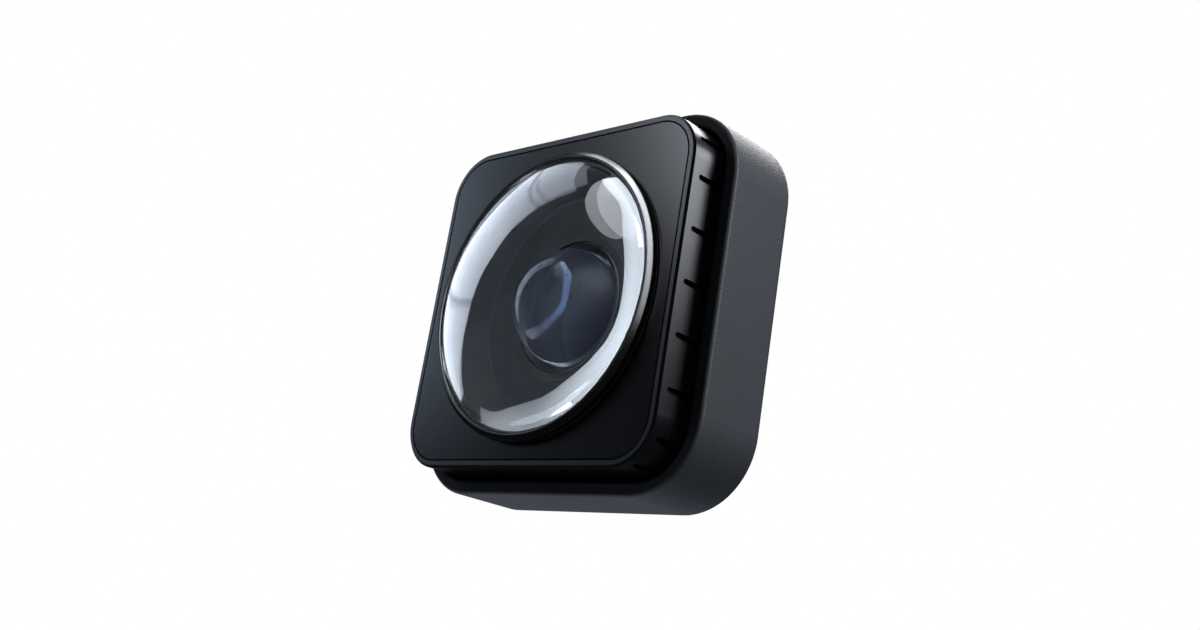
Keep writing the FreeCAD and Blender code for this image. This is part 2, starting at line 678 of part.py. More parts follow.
def port_door_seal():
    """Rubber plug on the inside of the door."""
    x = (SIDE_X + DOOR_THICK, USB_MOUTH_X - PLUG_GAP)
    y = (PORT_FRONT_Y + PLUG_GAP, PORT_BACK_Y - PLUG_GAP)
    z = (PORT_BOTTOM_Z + PLUG_GAP, PORT_TOP_Z - PLUG_GAP)
    plug = rounded_block(x, y, z, PLUG_CORNER, (1, 0, 0))
    hollow = block((x[0] + PLUG_ROOT, x[1] + OVERSHOOT), (y[0] + PLUG_WALL, y[1] - PLUG_WALL),
                   (z[0] + PLUG_WALL, z[1] - PLUG_WALL))
    return plug.cut(hollow)


# ---- lens block pieces ----------------------------------------------------------------------
def grip_slot(distance, angle, offset):
    """Groove in the side of the lens block, round at its front end and open at its back."""
    half = SLOT_WIDTH / 2
    front = FACE_Y + SLOT_START + half
    x = (distance - SLOT_DEPTH, distance + OVERSHOOT)
    height = CENTRE_Z + offset
    groove = block(x, (front, BLOCK_BACK_Y + OVERSHOOT), (height - half, height + half))
    end = Part.makeCylinder(half, x[1] - x[0], Vector(x[0], front, height), Vector(1, 0, 0))
    slot = groove.fuse(end)
    slot.rotate(Vector(0, 0, CENTRE_Z), Vector(0, 1, 0), angle)
    return slot


def grip_slots():
    """Five grooves on the flat of each side and one on the start of each of its corners."""
    flat = BLOCK_HALF - BLOCK_CORNER
    rise = CORNER_SLOT_OFFSET - flat
    corner_reach = flat + math.sqrt(BLOCK_CORNER ** 2 - rise ** 2)
    slots = []
    for side in range(4):
        for step in range(-SLOTS_EACH_WAY, SLOTS_EACH_WAY + 1):
            slots.append(grip_slot(BLOCK_HALF, 90 * side, SLOT_SHIFT + step * SLOT_PITCH))
        for corner in (-CORNER_SLOT_OFFSET, CORNER_SLOT_OFFSET):
            slots.append(grip_slot(corner_reach, 90 * side, corner))
    return slots


def lens_housing():
    housing = rounded_square(BLOCK_HALF, BLOCK_CORNER, FACE_Y, BLOCK_BACK_Y)
    housing = housing.makeChamfer(BLOCK_EDGE, edges_at_y(housing, FACE_Y, BODY_HALF))
    panel_seat = rounded_square(PANEL_HALF + PANEL_GAP, PANEL_CORNER + PANEL_GAP,
                                FACE_Y - OVERSHOOT, FACE_Y + PANEL_THICK)
    opening = rod(OPENING_RADIUS, FACE_Y, FACE_Y + WEB_BACK + EPS)
    cavity = rounded_square(CAVITY_HALF, CAVITY_CORNER, FACE_Y + WEB_BACK, BLOCK_BACK_Y + OVERSHOOT)
    housing = housing.cut([panel_seat, opening, cavity] + grip_slots())
    post_end = BLOCK_BACK_Y - BACK_PLATE_THICK - SLIP_GAP
    posts = [rod(BLOCK_POST_RADIUS, FACE_Y + WEB_BACK - EPS, post_end, x, z)
             for x, z in four_corners(BLOCK_POST_AT)]
    holes = [rod(SCREW_HOLE_RADIUS, FACE_Y + BLOCK_HOLE_START, BLOCK_BACK_Y, x, z)
             for x, z in four_corners(BLOCK_POST_AT)]
    return housing.fuse(posts).cut(holes).removeSplitter()


def face_panel():
    panel = rounded_square(PANEL_HALF, PANEL_CORNER, FACE_Y, FACE_Y + PANEL_THICK)
    panel = panel.makeChamfer(PANEL_EDGE, edges_at_y(panel, FACE_Y, BODY_HALF))
    return panel.cut(rod(OPENING_RADIUS, FACE_Y - OVERSHOOT, FACE_Y + PANEL_THICK + OVERSHOOT))


def dome_ring():
    return turned([
        (RING_INNER, RING_FRONT + RING_LIP),
        (RING_INNER + RING_LIP, RING_FRONT),
        (RING_OUTER - RING_CHAMFER, RING_FRONT),
        (RING_OUTER, RING_FRONT + RING_CHAMFER),
        (RING_OUTER, RING_BACK),
        (RING_INNER, RING_BACK),
    ])


def dome_seal():
    return turned([
        (RING_INNER + SEAL_SIDE_GAP, SEAL_FRONT),
        (SEAL_OUTER, SEAL_FRONT),
        (SEAL_OUTER, DOME_SKIRT_END),
        (RING_INNER + SEAL_SIDE_GAP, DOME_SKIRT_END),
    ])


def dome_glass():
    base_y = FACE_Y + DOME_BASE
    skirt_end = FACE_Y + DOME_SKIRT_END
    inner_radius = DOME_RADIUS - DOME_WALL
    outer = dome_cap(DOME_RADIUS, DOME_SAGITTA, base_y).fuse(rod(DOME_RADIUS, base_y, skirt_end))
    inner = dome_cap(inner_radius, DOME_SAGITTA - DOME_WALL, base_y)
    hollow = inner.fuse(rod(inner_radius, base_y, skirt_end + OVERSHOOT))
    return outer.cut(hollow).removeSplitter()


def cone_baffle():
    """Black bowl between the dome and the front lens."""
    hole_radius = LENS_RING_OUTER + LENS_RING_GAP
    return turned([
        (BOWL_MOUTH_RADIUS, BOWL_FLANGE),
        (BOWL_FLANGE_RADIUS, BOWL_FLANGE),
        (BOWL_FLANGE_RADIUS, BOWL_FLANGE + BOWL_WALL),
        (BOWL_MOUTH_RADIUS + BOWL_MOUTH_STEP, BOWL_FLANGE + BOWL_WALL),
        (BOWL_FLOOR_RADIUS + BOWL_FLOOR_STEP, BOWL_FLOOR + BOWL_WALL),
        (hole_radius, BOWL_FLOOR + BOWL_WALL),
        (hole_radius, BOWL_FLOOR),
        (BOWL_FLOOR_RADIUS, BOWL_FLOOR),
    ])


def lens_ring():
    return turned([
        (LENS_RING_INNER, LENS_RING_BEVEL_BACK),
        (LENS_RING_OUTER - LENS_RING_EDGE_WIDTH, LENS_RING_FRONT),
        (LENS_RING_OUTER, LENS_RING_EDGE),
        (LENS_RING_OUTER, LENS_RING_BACK),
        (LENS_RING_INNER, LENS_RING_BACK),
    ])


def front_lens():
    """Deeply curved glass: round in front, hollowed at the back."""
    centre_y = FACE_Y + FRONT_LENS_CENTRE
    dome = dome_cap(FRONT_LENS_RADIUS, FRONT_LENS_RADIUS, centre_y)
    foot = rod(FRONT_LENS_RADIUS, centre_y, FACE_Y + FRONT_LENS_BACK)
    hollow = dome_cap(FRONT_LENS_HOLLOW, FRONT_LENS_HOLLOW_DEPTH, FACE_Y + FRONT_LENS_BACK + EPS)
    return dome.fuse(foot).cut(hollow).removeSplitter()


def round_lens(radius, span, sagitta):
    """Small lens element with a convex front and a flat edge, in a span of depths behind the face."""
    edge = FACE_Y + span[0] + sagitta
    return dome_cap(radius, sagitta, edge).fuse(rod(radius, edge, FACE_Y + span[1])).removeSplitter()


def lens_barrel():
    """Stepped tube that holds the retaining ring, the second lens and the third lens."""
    return turned([
        (BARREL_MOUTH_RADIUS, BARREL_FRONT),
        (BARREL_RADIUS, BARREL_FRONT),
        (BARREL_RADIUS, BARREL_BACK),
        (BARREL_EXIT_RADIUS, BARREL_BACK),
        (BARREL_EXIT_RADIUS, BARREL_THIRD_BACK),
        (BARREL_THIRD_RADIUS, BARREL_THIRD_BACK),
        (BARREL_THIRD_RADIUS, BARREL_SECOND_BACK),
        (BARREL_SECOND_RADIUS, BARREL_SECOND_BACK),
        (BARREL_SECOND_RADIUS, BARREL_SECOND_FRONT),
        (BARREL_STEP_RADIUS, BARREL_SECOND_FRONT),
        (BARREL_STEP_RADIUS, BARREL_SHELF),
        (BARREL_MOUTH_RADIUS, BARREL_SHELF),
    ])


def centred_plate(half_width, half_height, span):
    """Plate centred on the lens axis, in a span of depths behind the face."""
    return block((-half_width, half_width), (FACE_Y + span[0], FACE_Y + span[1]),
                 (CENTRE_Z - half_height, CENTRE_Z + half_height))


def ir_filter():
    return centred_plate(FILTER_HALF, FILTER_HALF, FILTER_SPAN)


def image_sensor():
    return centred_plate(SENSOR_HALF_WIDTH, SENSOR_HALF_HEIGHT, (SENSOR_FRONT, SENSOR_BOARD_FRONT))


def sensor_board():
    half = SENSOR_BOARD_HALF
    front = FACE_Y + SENSOR_BOARD_FRONT
    return rounded_block((-half, half), (front, front + SENSOR_BOARD_THICK),
                         (CENTRE_Z - half, CENTRE_Z + half), SENSOR_BOARD_CORNER, (0, 1, 0))


def lens_back_plate():
    front = BLOCK_BACK_Y - BACK_PLATE_THICK
    back = BLOCK_BACK_Y + OVERSHOOT
    head_seat = BLOCK_BACK_Y - BACK_SCREW_SEAT_DEPTH
    pad_seat = BLOCK_BACK_Y - PAD_SEAT_DEPTH
    half = CAVITY_HALF - BACK_PLATE_GAP
    plate = rounded_square(half, CAVITY_CORNER - BACK_PLATE_GAP, front, BLOCK_BACK_Y)
    cuts = []
    for x, z in four_corners(BLOCK_POST_AT):
        cuts.append(rod(SCREW_HOLE_RADIUS, front - OVERSHOOT, back, x, z))
        cuts.append(rod(SCREW_SEAT_RADIUS, head_seat, back, x, z))
    for x in contact_places():
        cuts.append(rod(PAD_SEAT_RADIUS, pad_seat, back, x, CONTACT_Z))
    return plate.cut(cuts)


def lens_back_screws():
    head_back = BLOCK_BACK_Y + BLOCK_SCREW_PROUD
    return Part.makeCompound([screw(x, z, FACE_Y + BLOCK_SCREW_TIP, head_back)
                              for x, z in four_corners(BLOCK_POST_AT)])


def contact_pads():
    return Part.makeCompound([rod(PAD_RADIUS, PAD_Y[0], PAD_Y[1], x, CONTACT_Z)
                              for x in contact_places()])


def pieces():
    """Every piece of the camera by name."""
    return {
        "body_shell": body_shell(),
        "back_cover": back_cover(),
        "cover_seal": cover_seal(),
        "cover_screws": cover_screws(),
        "tripod_insert": tripod_insert(),
        "battery": battery(),
        "battery_pad": battery_pad(),
        "main_board": main_board(),
        "board_screws": board_screws(),
        "processor_chip": processor_chip(),
        "memory_chip": memory_chip(),
        "radio_shield": radio_shield(),
        "heat_spreader": heat_spreader(),
        "microphone": microphone(),
        "speaker": speaker(),
        "status_light": status_light(),
        "antenna": antenna(),
        "usb_socket": usb_socket(),
        "port_door_pin": port_door_pin(),
        "switch_board": switch_board(),
        "shutter_switch": key_switch(SHUTTER_X),
        "power_switch": key_switch(POWER_X),
        "button_seals": button_seals(),
        "body_magnets": magnet_pair(BAY_FRONT_Y + SLIP_GAP),
        "contact_block": contact_block(),
        "contact_pins": contact_pins(),
        "shutter_button": top_button(SHUTTER_X, SHUTTER_LENGTH, SHUTTER_WIDTH),
        "power_button": top_button(POWER_X, POWER_LENGTH, POWER_WIDTH),
        "port_door": port_door(),
        "port_door_seal": port_door_seal(),
        "lens_housing": lens_housing(),
        "face_panel": face_panel(),
        "dome_ring": dome_ring(),
        "dome_seal": dome_seal(),
        "dome_glass": dome_glass(),
        "cone_baffle": cone_baffle(),
        "lens_ring": lens_ring(),
        "front_lens": front_lens(),
        "lens_barrel": lens_barrel(),
        "second_lens": round_lens(SECOND_LENS_RADIUS, SECOND_LENS_SPAN, SECOND_LENS_SAGITTA),
        "third_lens": round_lens(THIRD_LENS_RADIUS, THIRD_LENS_SPAN, THIRD_LENS_SAGITTA),
        "ir_filter": ir_filter(),
        "image_sensor": image_sensor(),
        "sensor_board": sensor_board(),
        "lens_back_plate": lens_back_plate(),
        "lens_back_screws": lens_back_screws(),
        "lens_magnets": magnet_pair(BLOCK_BACK_Y - BACK_PLATE_THICK - MAGNET_THICK - SLIP_GAP),
        "contact_pads": contact_pads(),
    }


def main():
    os.makedirs("parts", exist_ok=True)
    for name, shape in pieces().items():
        if not shape.isValid() or not shape.Solids:
            raise ValueError(name + " is not a valid solid")
        shape.exportStep("parts/" + name + ".step")
        print(name, len(shape.Solids), round(shape.Volume, 1))


main()
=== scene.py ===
"""Looks of the square action camera, in metres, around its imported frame."""

import json
import math

import bmesh
import bpy
from mathutils import Matrix, Vector

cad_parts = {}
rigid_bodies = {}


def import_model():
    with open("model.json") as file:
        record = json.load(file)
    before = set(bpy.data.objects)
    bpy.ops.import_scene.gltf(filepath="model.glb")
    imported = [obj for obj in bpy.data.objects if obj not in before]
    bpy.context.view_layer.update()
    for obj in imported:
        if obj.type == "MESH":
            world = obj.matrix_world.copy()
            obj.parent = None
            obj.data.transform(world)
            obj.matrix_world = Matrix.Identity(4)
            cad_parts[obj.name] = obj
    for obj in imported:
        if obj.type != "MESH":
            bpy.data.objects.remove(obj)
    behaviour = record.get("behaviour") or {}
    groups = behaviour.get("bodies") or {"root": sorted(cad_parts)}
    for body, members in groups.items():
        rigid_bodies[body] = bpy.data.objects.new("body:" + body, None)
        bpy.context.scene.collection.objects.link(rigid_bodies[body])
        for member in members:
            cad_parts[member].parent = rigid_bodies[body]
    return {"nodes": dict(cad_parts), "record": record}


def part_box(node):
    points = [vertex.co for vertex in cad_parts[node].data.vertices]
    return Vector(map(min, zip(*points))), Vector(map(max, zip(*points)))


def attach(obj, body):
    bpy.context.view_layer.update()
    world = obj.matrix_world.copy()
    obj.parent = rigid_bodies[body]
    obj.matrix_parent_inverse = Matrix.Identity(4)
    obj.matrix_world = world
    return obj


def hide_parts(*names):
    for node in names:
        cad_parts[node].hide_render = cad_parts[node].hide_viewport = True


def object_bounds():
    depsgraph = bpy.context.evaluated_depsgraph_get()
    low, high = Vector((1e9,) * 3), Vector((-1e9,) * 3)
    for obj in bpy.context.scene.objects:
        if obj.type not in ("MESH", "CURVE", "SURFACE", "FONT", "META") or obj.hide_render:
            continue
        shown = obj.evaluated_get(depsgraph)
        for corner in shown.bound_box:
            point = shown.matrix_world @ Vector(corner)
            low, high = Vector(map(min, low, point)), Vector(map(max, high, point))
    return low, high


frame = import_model()
cad_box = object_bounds()
MM = 0.001

# Camera: the photograph's viewing angle, from below and to the right, with a small roll
CAMERA_AT = Vector((156.88, -145.59, -28.87)) * MM
LOOK_AT = Vector((6.07, 1.09, 28.57)) * MM
CAMERA_ROLL = math.radians(9.29)
CAMERA_LENS = 42.33

# Places: the lens axis runs along Y through the middle of the block's face
housing_low, housing_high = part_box("lens_housing")
AXIS_Z = (housing_low.z + housing_high.z) / 2
FACE_Y = housing_low.y
MIDDLE = Vector((0.0, 0.0, AXIS_Z))

# Turned pieces
TURN_STEPS = 192
ON_AXIS = 1e-7
SHARP_ANGLE = math.radians(35)
DOME_SKIRT = 1.8 * MM
DOME_WALL = 1.1 * MM
GLASS_BEVEL = 0.1 * MM
FRONT_BEVEL = 0.15 * MM
HOLLOW_RADIUS = 6.0 * MM
HOLLOW_DEPTH = 3.0 * MM
SECOND_BULGE = 0.8 * MM
THIRD_BULGE = 0.6 * MM

# A face of the front lens is part of its back, which gets the dark painted shade, where its normal's y is
# above this
FACES_BACK = 0.3

# Surface patterns, in features per metre
BLOTCHES = 140.0
METAL_BLOTCHES = 200.0
LEATHER_BLOTCHES = 90.0
LEATHER_CELLS = 3000.0
LEATHER_SWAY = 1400.0
LEATHER_DUST = 9000.0
SMUDGES = 110.0
LATHE_RINGS = 14000.0

# Soft lights seen in reflections, in metres and in fractions of a patch's length
GLOW_DISTANCE = 0.5
FAR_GLOW_DISTANCE = 0.6
GLOW_STEPS = 120
SEAM_WIDTH = 0.011
SEAM_DIM = 0.7

# Light colours, and the strength of the even light from all round
WHITE = (1.0, 1.0, 1.0)
COOL = (0.90, 0.94, 1.0)
SURROUND = 0.05

# Nearly vertical, so that a light straight overhead still has an up direction
UPRIGHT = Vector((0.0, 0.001, 1.0))

# Floor
FLOOR_DROP = 0.2 * MM
FLOOR_REACH = 1.5
FLOOR_FADE_START = 0.12
FLOOR_FADE_END = 0.55


# ---- shader helpers ---------------------------------------------------------------------------
def add_node(tree, kind, inputs=None, **settings):
    """Shader node with its settings and its input values or links."""
    made = tree.nodes.new("ShaderNode" + kind)
    for key, value in settings.items():
        setattr(made, key, value)
    for key, value in (inputs or {}).items():
        if isinstance(value, bpy.types.NodeSocket):
            tree.links.new(value, made.inputs[key])
        else:
            made.inputs[key].default_value = value
    return made


def new_material(name, constants):
    """Principled material with constants on the shader's own sockets."""
    material = bpy.data.materials.new(name)
    material.use_nodes = True
    shader = material.node_tree.nodes["Principled BSDF"]
    for key, value in constants.items():
        shader.inputs[key].default_value = value
    return material, material.node_tree, shader


def noise(tree, coords, scale, detail=3.0, roughness=0.55):
    """Noise value at a scale in features per metre."""
    made = add_node(tree, "TexNoise", {"Vector": coords, "Scale": scale, "Detail": detail,
                                       "Roughness": roughness})
    return made.outputs["Fac"]


def spread(tree, value, low, high, start=0.3, end=0.7):
    """Value mapped from (start, end) to (low, high)."""
    made = add_node(tree, "MapRange", {"Value": value, "From Min": start, "From Max": end,
                                       "To Min": low, "To Max": high})
    return made.outputs["Result"]


def blend_colours(tree, factor, first, second):
    """Colour that goes from the first to the second as the factor goes from 0 to 1."""
    made = add_node(tree, "Mix", data_type="RGBA")
    tree.links.new(factor, made.inputs["Factor"])
    for socket, colour in (("A", first), ("B", second)):
        target = [s for s in made.inputs if s.name == socket and s.type == "RGBA"][0]
        if isinstance(colour, bpy.types.NodeSocket):
            tree.links.new(colour, target)
        else:
            target.default_value = (*colour, 1.0)
    return [s for s in made.outputs if s.type == "RGBA"][0]


def bump(tree, height, distance, strength=1.0, normal=None):
    """Normal bent by a height of 0 to 1 that stands for the given distance."""
    inputs = {"Height": height, "Distance": distance, "Strength": strength}
    if normal is not None:
        inputs["Normal"] = normal
    return add_node(tree, "Bump", inputs).outputs["Normal"]


def moulded(name, dark, light, rough, grain=2600.0, depth=0.02 * MM, wear=None, **constants):
    """Moulded or machined surface: blotchy colour, varied roughness, fine bump, and worn edges if asked."""
    material, tree, shader = new_material(name, constants)
    coords = add_node(tree, "TexCoord").outputs["Object"]
    blotch = noise(tree, coords, BLOTCHES)
    fine = noise(tree, coords, grain, detail=4.0)
    colour = blend_colours(tree, spread(tree, blotch, 0.0, 1.0), dark, light)
    if wear:
        edge = add_node(tree, "NewGeometry").outputs["Pointiness"]
        worn = spread(tree, edge, 0.0, 0.6, start=0.53, end=0.62)
        colour = blend_colours(tree, worn, colour, wear)
    tree.links.new(colour, shader.inputs["Base Color"])
    tree.links.new(spread(tree, fine, rough[0], rough[1]), shader.inputs["Roughness"])
    tree.links.new(bump(tree, fine, depth), shader.inputs["Normal"])
    return material


def leather_grain(name, dark, light, rough, depth=0.02 * MM, sway=0.3 * MM):
    """Matte plastic with a fine pebbled grain like leather."""
    material, tree, shader = new_material(name, {"Specular IOR Level": 0.35})
    coords = add_node(tree, "TexCoord").outputs["Object"]
    wander = add_node(tree, "TexNoise", {"Vector": coords, "Scale": LEATHER_SWAY, "Detail": 2.0})
    shift = add_node(tree, "VectorMath", {0: wander.outputs["Color"], 1: (sway, sway, sway)},
                     operation="MULTIPLY")
    warped = add_node(tree, "VectorMath", {0: coords, 1: shift.outputs["Vector"]}, operation="ADD")
    cells = add_node(tree, "TexVoronoi", {"Vector": warped.outputs["Vector"], "Scale": LEATHER_CELLS},
                     feature="SMOOTH_F1")
    pebble = cells.outputs["Distance"]
    fine = noise(tree, coords, LEATHER_DUST, detail=2.0)
    blotch = noise(tree, coords, LEATHER_BLOTCHES)
    base = blend_colours(tree, spread(tree, blotch, 0.0, 1.0), dark, light)
    groove = tuple(0.75 * part for part in dark)
    colour = blend_colours(tree, spread(tree, pebble, 0.0, 0.7, start=0.35, end=0.75), base, groove)
    tree.links.new(colour, shader.inputs["Base Color"])
    roughness = spread(tree, pebble, rough[0], rough[1], start=0.2, end=0.8)
    tree.links.new(roughness, shader.inputs["Roughness"])
    coarse = bump(tree, spread(tree, pebble, 1.0, 0.0, start=0.1, end=0.8), depth)
    grain = bump(tree, fine, 0.008 * MM, strength=0.6, normal=coarse)
    tree.links.new(grain, shader.inputs["Normal"])
    return material


def coated_glass(name, tint, film=0.0, rough=(0.0, 0.02), **constants):
    """Glass with faint smudges, and a coating where the film has a thickness in nanometres."""
    settings = {"Transmission Weight": 1.0, "IOR": 1.5, "Thin Film Thickness": film,
                "Thin Film IOR": 1.38}
    settings.update(constants)
    material, tree, shader = new_material(name, settings)
    coords = add_node(tree, "TexCoord").outputs["Object"]
    smudge = noise(tree, coords, SMUDGES, detail=5.0, roughness=0.6)
    roughness = spread(tree, smudge, rough[0], rough[1], start=0.5, end=0.75)
    tree.links.new(roughness, shader.inputs["Roughness"])
    dimmed = tuple(0.94 * part for part in tint)
    colour = blend_colours(tree, spread(tree, smudge, 0.0, 1.0), tint, dimmed)
    tree.links.new(colour, shader.inputs["Base Color"])
    return material


def turned_metal(name, dark, light, rough, **constants):
    """Metal or paint turned on a lathe: fine rings about the lens axis."""
    material, tree, shader = new_material(name, constants)
    coords = add_node(tree, "TexCoord").outputs["Object"]
    centred = add_node(tree, "VectorMath", {0: coords, 1: (0.0, 0.0, -AXIS_Z)}, operation="ADD")
    flat = add_node(tree, "VectorMath", {0: centred.outputs["Vector"], 1: (1.0, 0.0, 1.0)},
                    operation="MULTIPLY")
    radius = add_node(tree, "VectorMath", {0: flat.outputs["Vector"]}, operation="LENGTH").outputs["Value"]
    rings = add_node(tree, "TexNoise", {"W": radius, "Scale": LATHE_RINGS, "Detail": 2.0},
                     noise_dimensions="1D").outputs["Fac"]
    blotch = noise(tree, coords, METAL_BLOTCHES)
    colour = blend_colours(tree, spread(tree, blotch, 0.0, 1.0), dark, light)
    tree.links.new(colour, shader.inputs["Base Color"])
    tree.links.new(spread(tree, rings, rough[0], rough[1]), shader.inputs["Roughness"])
    tree.links.new(bump(tree, rings, 0.004 * MM), shader.inputs["Normal"])
    return material


# ---- mesh helpers -----------------------------------------------------------------------------
def at_depth(*points):
    """(radius, distance behind the face) pairs in millimetres, as (radius, y) in metres."""
    return [(radius * MM, FACE_Y + depth * MM) for radius, depth in points]


def softened(profile, size, steps=4, most=0.4):
    """Closed profile with its corners rounded by curves that take at most that share of an edge."""
    made = []
    count = len(profile)
    for index, (x, y) in enumerate(profile):
        corner = Vector((x, y))
        before = Vector(profile[index - 1]) - corner
        after = Vector(profile[(index + 1) % count]) - corner
        reach = min(size, before.length * most, after.length * most)
        start = corner + before.normalized() * reach
        end = corner + after.normalized() * reach
        for step in range(steps + 1):
            t = step / steps
            point = start.lerp(corner, t).lerp(corner.lerp(end, t), t)
            made.append((point.x, point.y))
    return made


def cap_profile(radius, sagitta, base_y, steps=40):
    """Points on a spherical cap, from its apex on the axis to its edge."""
    ball = (radius ** 2 + sagitta ** 2) / (2 * sagitta)
    half_angle = math.asin(min(1.0, radius / ball))
    centre_y = base_y - sagitta + ball
    points = []
    for step in range(steps + 1):
        angle = half_angle * step / steps
        points.append((ball * math.sin(angle), centre_y - ball * math.cos(angle)))
    return points


def turned(name, profile, closed):
    """Mesh turned about the lens axis; a point on the axis becomes one vertex."""
    mesh = bmesh.new()
    rows = []
    for radius, y in profile:
        if radius < ON_AXIS:
            rows.append([mesh.verts.new((0.0, y, AXIS_Z))])
            continue
        row = []
        for step in range(TURN_STEPS):
            angle = 2 * math.pi * step / TURN_STEPS
            x = radius * math.cos(angle)
            z = AXIS_Z + radius * math.sin(angle)
            row.append(mesh.verts.new((x, y, z)))
        rows.append(row)
    pairs = list(zip(rows, rows[1:]))
    if closed:
        pairs.append((rows[-1], rows[0]))
    for first, second in pairs:
        for step in range(TURN_STEPS):
            after = (step + 1) % TURN_STEPS
            ring = [first[step % len(first)], first[after % len(first)],
                    second[after % len(second)], second[step % len(second)]]
            mesh.faces.new(list(dict.fromkeys(ring)))
    bmesh.ops.recalc_face_normals(mesh, faces=mesh.faces)
    return finished(name, mesh)


def finished(name, mesh):
    """Object from a bmesh, smooth except at its sharp edges."""
    data = bpy.data.meshes.new(name)
    mesh.to_mesh(data)
    mesh.free()
    data.polygons.foreach_set("use_smooth", [True] * len(data.polygons))
    data.set_sharp_from_angle(angle=SHARP_ANGLE)
    piece = bpy.data.objects.new(name, data)
    bpy.context.scene.collection.objects.link(piece)
    return piece


def stand_for(piece, node, body, material):
    """The piece takes the place, the body and the finish of a CAD node."""
    piece.data.materials.append(material)
    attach(piece, body)
    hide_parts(node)


# ---- materials --------------------------------------------------------------------------------
def slot_materials():
    """One procedural material for each material slot of the record."""
    return {
        "body_plastic": leather_grain("body_plastic", (0.034, 0.036, 0.042), (0.038, 0.041, 0.047),
                                      (0.5, 0.64)),
        "cover_plastic": moulded("cover_plastic", (0.030, 0.032, 0.038), (0.038, 0.041, 0.047), (0.5, 0.62)),
        "black_rubber": moulded("black_rubber", (0.015, 0.015, 0.016), (0.022, 0.022, 0.024), (0.75, 0.9)),
        "screw_steel": moulded("screw_steel", (0.16, 0.16, 0.17), (0.22, 0.22, 0.23), (0.28, 0.42),
                               Metallic=1.0),
        "insert_brass": moulded("insert_brass", (0.62, 0.46, 0.20), (0.72, 0.55, 0.26), (0.22, 0.34),
                                Metallic=1.0),
        "battery_foil": moulded("battery_foil", (0.5, 0.5, 0.52), (0.6, 0.6, 0.62), (0.3, 0.45),
                                Metallic=0.8),
        "board_green": moulded("board_green", (0.012, 0.09, 0.04), (0.018, 0.12, 0.055), (0.35, 0.5)),
        "chip_black": moulded("chip_black", (0.014, 0.014, 0.015), (0.022, 0.022, 0.023), (0.45, 0.6)),
        "shield_metal": moulded("shield_metal", (0.5, 0.5, 0.5), (0.6, 0.6, 0.6), (0.25, 0.4), Metallic=1.0),
        "spreader_copper": moulded("spreader_copper", (0.7, 0.36, 0.22), (0.8, 0.45, 0.3), (0.25, 0.4),
                                   Metallic=1.0),
        "light_plastic": moulded("light_plastic", (0.7, 0.75, 0.8), (0.8, 0.84, 0.88), (0.15, 0.3)),
        "magnet_metal": moulded("magnet_metal", (0.5, 0.5, 0.5), (0.6, 0.6, 0.6), (0.12, 0.25),
                                Metallic=1.0),
        "contact_gold": moulded("contact_gold", (0.8, 0.58, 0.2), (0.9, 0.68, 0.28), (0.15, 0.28),
                                Metallic=1.0),
        "button_plastic": moulded("button_plastic", (0.020, 0.021, 0.024), (0.028, 0.029, 0.033),
                                  (0.35, 0.5), wear=(0.08, 0.08, 0.09)),
        "door_plastic": leather_grain("door_plastic", (0.032, 0.034, 0.040), (0.036, 0.039, 0.045),
                                      (0.5, 0.64)),
        "block_plastic": moulded("block_plastic", (0.006, 0.006, 0.008), (0.009, 0.010, 0.012),
                                 (0.275, 0.285), depth=0.0006 * MM, wear=(0.02, 0.02, 0.024)),
        "panel_gloss": moulded("panel_gloss", (0.003, 0.0035, 0.005), (0.004, 0.005, 0.007),
                               (0.185, 0.195), grain=5200.0, depth=0.001 * MM),
        "ring_metal": turned_metal("ring_metal", (0.010, 0.010, 0.012), (0.014, 0.014, 0.016), (0.22, 0.28)),
        "dome_glass": coated_glass("dome_glass", (0.97, 0.985, 1.0)),
        "baffle_black": turned_metal("baffle_black", (0.009, 0.0095, 0.011), (0.012, 0.013, 0.015),
                                     (0.5, 0.6), **{"Specular IOR Level": 0.35}),
        # Painted shade: the front lens's dark blue-grey tint darkens the view into the barrel behind the
        # glass
        "lens_glass": coated_glass("lens_glass", (0.30, 0.33, 0.40),
                                   **{"Transmission Weight": 0.95, "Specular IOR Level": 0.3,
                                      "Specular Tint": (0.10, 0.15, 0.28, 1.0)}),
    }


def dress_cad_nodes(materials):
    """Each CAD node gets the material of its slot."""
    for part in frame["record"]["subparts"]:
        node = frame["nodes"][part["node"]]
        material = materials[part["material_slot"]]
        if not node.material_slots:
            node.data.materials.append(material)
        for slot in node.material_slots:
            slot.material = material


# ---- pieces -----------------------------------------------------------------------------------
def dome(materials):
    """Clear dome with a short straight skirt and an even wall."""
    low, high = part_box("dome_glass")
    radius = (high.x - low.x) / 2
    base_y = high.y - DOME_SKIRT
    outer = cap_profile(radius, base_y - low.y, base_y)
    inner = cap_profile(radius - DOME_WALL, base_y - low.y - DOME_WALL, base_y)
    skirt = [(radius, high.y - GLASS_BEVEL), (radius - GLASS_BEVEL, high.y),
             (radius - DOME_WALL + GLASS_BEVEL, high.y), (radius - DOME_WALL, high.y - GLASS_BEVEL)]
    piece = turned("dome_glass_piece", outer + skirt + inner[::-1], closed=False)
    piece.visible_shadow = False
    stand_for(piece, "dome_glass", "lens_block", materials["dome_glass"])


def ring(materials):
    """Chamfered ring that stands proud of the face round the dome."""
    front = [(22.06, -1.6), (22.3, -1.85), (22.65, -1.85), (23.4, -1.1)]
    foot = [(23.4, -0.2), (22.06, -0.2)]
    profile = softened(at_depth(*(front + foot)), 0.14 * MM)
    piece = turned("dome_ring_piece", profile, closed=True)
    stand_for(piece, "dome_ring", "lens_block", materials["ring_metal"])


